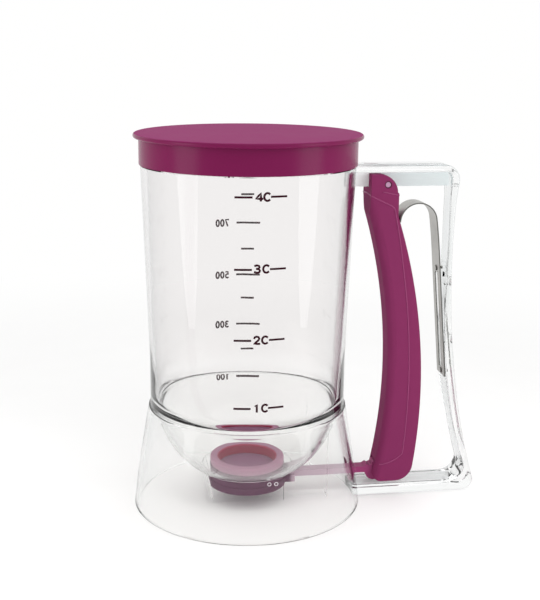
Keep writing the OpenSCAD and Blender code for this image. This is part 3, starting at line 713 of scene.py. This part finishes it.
def handle():
    """The loop and the web under its upper arm, cut to the jug and the skirt."""
    loop = frame_loop("clear_handle_loop")
    web = block("web", (ARM_START_X, -WEB_HALF_T, WEB_Z), (IN_X + 0.6, WEB_HALF_T, PLATE_Z + 0.6),
                CLEAR_HANDLE)
    boolean(loop, [web], "UNION", 40)

    heights = [-2] + even(0, SKIRT_H, 24)
    body = [(0.001, -2)] + [(jug_r(z) + WELD, z) for z in heights]
    body += [(JUG_FOOT_R + WELD, SKIRT_H + 0.01)]
    body += [(jug_r(z) + WELD, z) for z in (TAPER_Z, 100, 130, SHOULDER_Z)]
    body += [(JUG_TOP_R + WELD, 175), (0.001, 175)]
    cuts = [revolve("core", body, CLEAR)]
    pocket_r, pocket_depth, dimple_r, dimple_depth = 2.8, 0.55, 0.8, 0.7
    for z in (111.08, 81.08):
        cuts.append(round_cut("pocket", (left_x(OUT_C, OUT_R, z), 0, z), (1, 0, 0),
                              pocket_r, pocket_depth))
    for side, _ in SIDES:
        cuts.append(round_cut("dimple", (101.3, side * 7.1, 159.4), (0, side, 0),
                              dimple_r, dimple_depth))
    boolean(loop, cuts, "DIFFERENCE", 40)

    # the web's two sides and its lower edge have the matt face
    loop.data.materials.clear()
    loop.data.materials.append(CLEAR_HANDLE)
    loop.data.materials.append(CLEAR_WEB)
    near = 0.03
    for poly in loop.data.polygons:
        c = poly.center / MM
        beside = abs(abs(c.y) - WEB_HALF_T) < near and abs(poly.normal.y) > 0.9
        on_side = beside and WEB_Z - 0.1 < c.z < PLATE_Z + 0.1
        under = abs(c.z - WEB_Z) < near and abs(c.y) < WEB_HALF_T + near
        poly.material_index = 1 if on_side or under else 0
    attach(loop, "jug")
    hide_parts("handle_frame")


def grip_plate(name, z0, z1, left, width):
    """A clear plate between a side line, which is a function of the height, and the grip's inner face."""
    zs = even(z0, z1, 12)
    outline = [(left(z), z) for z in zs] + [(grip_inner_x(z) - 0.03, z) for z in reversed(zs)]
    n = len(outline)
    verts = [(x * MM, y * MM, z * MM) for y in (-width / 2, width / 2) for x, z in outline]
    faces = [tuple(range(n)), tuple(range(n, 2 * n))] + quad_strip(0, n, n)
    ob = solid(name, verts, faces, CLEAR_FAINT, "jug", 40)


def behind_tail(offset):
    """A side line that runs along the spring's tail, at a distance from it."""
    return lambda z: TAIL_TOP[0] + (TAIL_TOP[1] - z) * math.tan(math.radians(TAIL_LEAN)) + offset


def spring_supports():
    """The rib behind the spring and the seats of its two rivets."""
    rib_low_z, rib_high_z, rib_width = 65.87, 115.14, 3.2
    seat_half_h, seat_width = 3.6, 10
    grip_plate("spring_rib", rib_low_z, rib_high_z, behind_tail(-0.8), rib_width)
    for tag, z in (("top", 117.39), ("low", 63.62)):
        grip_plate("spring_seat_" + tag, z - seat_half_h, z + seat_half_h, behind_tail(0.32), seat_width)


def low_rib():
    """The wider rib on the grip under the spring; downwards its side line leans away from the trigger."""
    low_z, high_z, high_x, lean, width = 44, 62, 99.4, 0.247, 9
    grip_plate("grip_rib", low_z, high_z, lambda z: high_x + (high_z - z) * lean, width)


def flexing_spring():
    """The leaf spring: a copy of the imported strip's mesh, baked in place, which stands in for it."""
    source = NODES["leaf_spring"]
    me = source.data.copy()
    me.name = "spring_strip"
    me.transform(source.matrix_world)
    ob = link_object("spring_strip", me)
    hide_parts("leaf_spring")
    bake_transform(ob)


def trigger_beads():
    """The raised line round the grip cover, on both sides, and the slanted line on the head, in a paler
    colour that is a painted highlight.
    """
    for side, tag in SIDES:
        # over the flat front of the head, along the cover's parting line and round its lower end
        front = [(HEAD_FRONT_X, 0, 155.6), (HEAD_FRONT_X, side * 7.9, 155.1)]
        path = [(58.7, 154.95), (69.0, 150.1), (70.1, 149.3), (70.7, 148.2)]
        path += [(right_x(PARTING_C, PARTING_R, z) + 0.8 * max(0, (z - 120) / 28), z)
                 for z in even(147, 23.2, 60)]
        path += arc(66.2, 34.4, 18.0, -45, -76, 8) + [(68.8, 16.6), (67.3, 16.65)]
        head = [(64.6, 156.9), (67.0, 156.4), (72.6, 155.2)]
        path, head = ([(x, side * TRIGGER_SIDE_Y, z) for x, z in line] for line in (path, head))
        for name, points, radius in (("cover_bead_", front + path, 0.32), ("head_line_", head, 0.3)):
            bead = tube(name + tag, points, radius, BEAD_PAINTED_HIGHLIGHT, "trigger")


# ---------------------------------------------------------------- printed scale

GLYPHS = {
    "0": [[(0.5 + 0.5 * math.cos(a * math.pi / 8), 0.5 + 0.5 * math.sin(a * math.pi / 8))
           for a in range(17)]],
    "1": [[(0.15, 0.82), (0.62, 1.0), (0.62, 0.0)]],
    "2": [[(0.04, 0.76), (0.16, 0.93), (0.45, 1.0), (0.8, 0.92), (0.92, 0.72), (0.78, 0.5),
           (0.0, 0.0), (1.0, 0.0)]],
    "3": [[(0.08, 0.92), (0.42, 1.0), (0.8, 0.92), (0.88, 0.74), (0.72, 0.57), (0.38, 0.53)],
          [(0.38, 0.53), (0.78, 0.48), (0.96, 0.28), (0.84, 0.07), (0.45, 0.0), (0.04, 0.1)]],
    "4": [[(0.74, 0.0), (0.74, 1.0), (0.0, 0.27), (1.0, 0.27)]],
    "5": [[(0.88, 1.0), (0.18, 1.0), (0.1, 0.55), (0.45, 0.63), (0.82, 0.54), (0.94, 0.3),
           (0.78, 0.06), (0.42, 0.0), (0.04, 0.1)]],
    "7": [[(0.0, 1.0), (1.0, 1.0), (0.35, 0.0)]],
    "C": [[(0.5 + 0.52 * math.cos(math.radians(a)), 0.5 + 0.5 * math.sin(math.radians(a)))
           for a in range(48, 313, 22)]],
}


def on_wall(azimuth, z, lift):
    """A point on the jug's outer face, lifted off it a little, in metres."""
    a = math.radians(azimuth)
    r = jug_r(z) + lift
    return (r * math.cos(a) * MM, r * math.sin(a) * MM, z * MM)


def finer(points, pitch=1.2):
    """The same line with points added, less than twice the pitch apart, so that it follows the wall."""
    fine = []
    for a, b in zip(points, points[1:]):
        steps = max(1, int(math.hypot(b[0] - a[0], b[1] - a[1]) / pitch))
        fine += [(a[0] + (b[0] - a[0]) * k / steps, a[1] + (b[1] - a[1]) * k / steps)
                 for k in range(steps)]
    return fine + [points[-1]]


def print_strokes(name, strokes, azimuth, z0):
    """Raised ink strokes. Each stroke is (points, width): along the wall and up it from z0."""
    lift, depth = 0.02, 0.07
    verts, faces = [], []
    for points, width in strokes:
        fine = finer(points)
        base, last = len(verts), len(fine) - 1
        for k, (x, y) in enumerate(fine):
            before, after = fine[max(k - 1, 0)], fine[min(k + 1, last)]
            d = Vector((after[0] - before[0], after[1] - before[1])).normalized()
            side = Vector((-d.y, d.x)) * width / 2
            end = d * (width * 0.25) * (-1 if k == 0 else 1 if k == last else 0)
            for sx, up in ((1, lift), (-1, lift), (-1, lift + depth), (1, lift + depth)):
                px, py = x + sx * side.x + end.x, y + sx * side.y + end.y
                z = z0 + py
                verts.append(on_wall(azimuth + math.degrees(px / jug_r(z)), z, up))
        for k in range(last):
            faces += quad_strip(base + 4 * k, base + 4 * k + 4, 4)
        faces += [tuple(range(base, base + 4)), tuple(range(base + 4 * last, base + 4 * last + 4))]
    solid(name, verts, faces, INK, "jug", 30)


def text_strokes(text, x, height, widths, gap, weight):
    """Strokes of a row of glyphs that starts at x, centred on height zero."""
    out = []
    for char, width in zip(text, widths):
        for line in GLYPHS[char]:
            out.append(([(x + px * width, (py - 0.5) * height) for px, py in line], weight))
        x += width + gap
    return out


def printed_scale():
    """Cups on the near side; millilitres on the far side, which show mirrored through the jug."""
    cups_azimuth, ml_azimuth, tick_azimuth = -91.2, 82.0, 82.3
    # digit: height of the mark, start and width of the digit, gap to the C, lift of the text
    cups = {"4": (161.6, -2.8, 2.9, 0.75, 0.1), "3": (129.3, -3.2, 2.65, 1.35, 0.3),
            "2": (96.5, -3.0, 2.6, 1.1, 0.2), "1": (64.0, -2.4, 1.6, 1.8, 0.15)}
    for digit, (z, x, width, gap, lift) in cups.items():
        # a dash on each side of the text
        strokes = [([(-11.9, -0.1), (-4.5, -0.05)], 0.95), ([(4.0, 0.15), (10.9, 0.2)], 0.92)]
        strokes += [([(a, b + lift) for a, b in line], weight)
                    for line, weight in text_strokes(digit + "C", x, 3.4, (width, 2.8), gap, 0.98)]
        print_strokes("scale_cups_" + digit, strokes, cups_azimuth, z)
    for label, z in (("700", 134.35), ("500", 106.5), ("300", 79.6), ("100", 48.2)):
        strokes = [([(-6.4, 0), (6.1, 0.05)], 1.02)]
        strokes += text_strokes(label, 10.7, 3.3, (1.65, 1.65, 1.65), 1.0, 0.88)
        print_strokes("scale_ml_" + label, strokes, ml_azimuth, z)
    for k, z in enumerate((149.4, 120.4, 93.9, 65.4)):
        print_strokes("scale_ml_tick_%d" % k, [([(-3.3, 0), (3.3, 0)], 1.02)], tick_azimuth, z)


clear_shell()
guide_rails()
peg_painted_glints()
handle()
spring_supports()
flexing_spring()
low_rib()
trigger_beads()
printed_scale()


# ---------------------------------------------------------------- stage, light and camera

BACKDROP_WHITE = (1, 1, 0.997, 1)


def background_rays(t):
    """1 for the rays that show the background itself, so that its white adds no light to the part."""
    path = t.add("ShaderNodeLightPath")
    seen = t.math("ADD", path.outputs["Is Camera Ray"], path.outputs["Is Glossy Ray"], clamp=True)
    return t.math("ADD", seen, path.outputs["Is Transmission Ray"], clamp=True)


def stage_floor():
    """A pale floor, which away from the part turns into the white of the backdrop."""
    size, below, fade_start, fade_end = 6.0, 0.0004, 0.22, 0.55
    me = bpy.data.meshes.new("floor")
    me.from_pydata([(-size, -size, 0), (size, -size, 0), (size, size, 0), (-size, size, 0)], [],
                   [(0, 1, 2, 3)])
    m, t = new_material("floor_paper")
    p = t.add("ShaderNodeBsdfPrincipled")
    paper = [(0.3, (0.965, 0.965, 0.96, 1)), (0.7, (0.975, 0.975, 0.97, 1))]
    t.put(p, Base_Color=t.ramp(t.noise(30, 2, 0.5), paper))
    p.inputs["Roughness"].default_value = 0.9
    p.inputs["Specular IOR Level"].default_value = 0.1
    white = t.add("ShaderNodeEmission")
    white.inputs["Color"].default_value = BACKDROP_WHITE
    far = t.step(t.radius(), fade_start, fade_end)
    share = t.math("MULTIPLY", background_rays(t), far)
    t.out(t.mix_shader(share, p.outputs[0], white.outputs[0]))
    me.materials.append(m)
    ob = link_object("floor", me)
    ob.location.z = -below


def world():
    """An even light on the part, and plain white behind it."""
    w = bpy.data.worlds.new("studio")
    bpy.context.scene.world = w
    w.use_nodes = True
    t = Tree(w)
    fill = t.add("ShaderNodeBackground")
    fill.inputs["Color"].default_value = (1, 1, 1, 1)
    fill.inputs["Strength"].default_value = 0.60
    white = t.add("ShaderNodeBackground")
    white.inputs["Color"].default_value = BACKDROP_WHITE
    white.inputs["Strength"].default_value = 1.0
    t.out(t.mix_shader(background_rays(t), fill.outputs[0], white.outputs[0]), "ShaderNodeOutputWorld")


def lamp(name, kind, place, target, power, **settings):
    """A lamp at a place in metres that points at a target."""
    data = bpy.data.lights.new(name, kind)
    data.energy = power
    for key, value in settings.items():
        setattr(data, key, value)
    ob = link_object(name, data)
    ob.location = place
    ob.rotation_euler = (Vector(target) - Vector(place)).to_track_quat("-Z", "Y").to_euler()
    return ob


def lights():
    """A wide soft sun from above, and two strip boxes that draw the bright edges of the jug."""
    lamp("top_sun", "SUN", (0.2, -0.3, 1.5), (0, 0, 0.09), 1.05, angle=math.radians(80))
    box_distance, box_z, box_target, box_power = 0.32, 0.19, (0, 0, 0.15), 0.45
    # azimuths as seen from the part; the camera stands at about -98 degrees
    for name, azimuth in (("left_box", -159.5), ("right_box", -36.5)):
        a = math.radians(azimuth)
        place = (box_distance * math.cos(a), box_distance * math.sin(a), box_z)
        box_lamp = lamp(name, "AREA", place, box_target, box_power,
                        shape="ELLIPSE", size=0.15, size_y=0.40)
        box_lamp.visible_camera = False
        box_lamp.visible_transmission = False


def camera():
    """The camera fitted to the object's outline, turned into the frame of the part."""
    distance, height = 518.933, 230.434                # mm
    pitch, yaw, roll = 0.24, 0.021, 0.01               # radians
    handle_turn = math.radians(8.07)                   # of the handle, out of the picture's plane
    forward = Vector((math.sin(yaw) * math.cos(pitch), math.cos(yaw) * math.cos(pitch),
                      -math.sin(pitch)))
    right = forward.cross(Vector((0, 0, 1))).normalized()
    up = right.cross(forward)
    right, up = (right * math.cos(roll) + up * math.sin(roll),
                 up * math.cos(roll) - right * math.sin(roll))
    turn = Matrix.Rotation(-handle_turn, 3, "Z")
    matrix = Matrix.Identity(4)
    for column, axis in enumerate((right, up, -forward)):
        for row, value in enumerate(turn @ axis):
            matrix[row][column] = value
    matrix.translation = turn @ Vector((0, -distance, height)) * MM
    data = bpy.data.cameras.new("camera")
    data.lens = 65.30
    data.sensor_width = 36.0
    data.clip_start = 0.01
    data.clip_end = 50
    ob = link_object("camera", data)
    ob.matrix_world = matrix
    bpy.context.scene.camera = ob


stage_floor()
world()
lights()
camera()
bpy.context.scene.view_settings.view_transform = "Standard"
# light crosses many clear walls here
cycles = bpy.context.scene.cycles
cycles.max_bounces = 24
cycles.transmission_bounces = 24
cycles.transparent_max_bounces = 24
